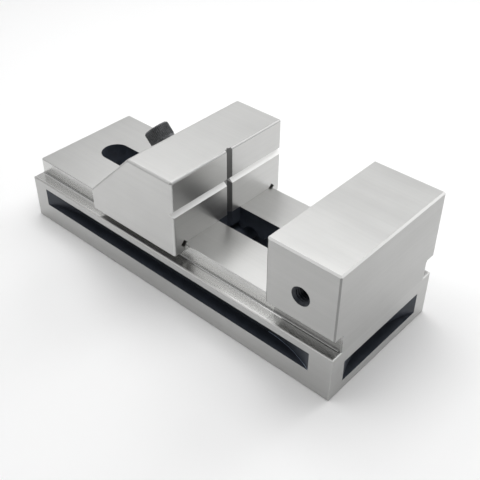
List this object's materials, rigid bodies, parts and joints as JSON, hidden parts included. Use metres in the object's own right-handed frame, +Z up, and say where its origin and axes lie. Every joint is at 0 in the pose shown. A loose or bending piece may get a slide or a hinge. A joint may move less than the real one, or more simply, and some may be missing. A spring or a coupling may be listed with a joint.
{
  "type": "precision vise",
  "caption": "Ground toolmaker's vise: block body with fixed jaw, movable jaw sliding on rails, clamped by an angled cap screw pulling on a notched cross nut.",
  "frame": {"origin": "centre of the body's bottom face", "axes": "+X along the vise towards the fixed jaw, +Y to the side without the stop hole, +Z up"},
  "size_m": [0.194, 0.073, 0.0679],
  "materials": {
    "ground_steel": "satin, surface ground",
    "black_oxide_steel": "black oxide"
  },
  "bodies": {
    "base": {"vise_body": "ground_steel"},
    "jaw": {"movable_jaw": "ground_steel", "keeper_plate": "black_oxide_steel", "keeper_screw_rear": "black_oxide_steel", "keeper_screw_front": "black_oxide_steel"},
    "washer": {"spherical_washer": "black_oxide_steel"},
    "screw": {"clamp_screw": "black_oxide_steel"},
    "nut": {"cross_nut": "black_oxide_steel"}
  },
  "joints": [
    {"name": "jaw_slide", "type": "slide", "parent": "base", "child": "jaw", "axis": [1, 0, 0], "range_m": [-0.0399, 0.0532]},
    {"name": "screw_swing", "type": "hinge", "parent": "jaw", "child": "washer", "pos_m": [-0.04017, 0, 0.05994], "axis": [0, 1, 0], "range_deg": [0, 10]},
    {"name": "screw_turn", "type": "hinge", "parent": "washer", "child": "screw", "pos_m": [-0.04017, 0, 0.05994], "axis": [0.7071, 0, -0.7071], "range_deg": [0, 1482.6]},
    {"name": "nut_draw", "type": "slide", "parent": "washer", "child": "nut", "axis": [-0.7071, 0, 0.7071], "range_m": [0, 0.00515]}
  ],
  "couplings": [
    {"joint": "screw_turn", "follows": "nut_draw", "rad_per_m": 5026.5}
  ]
}
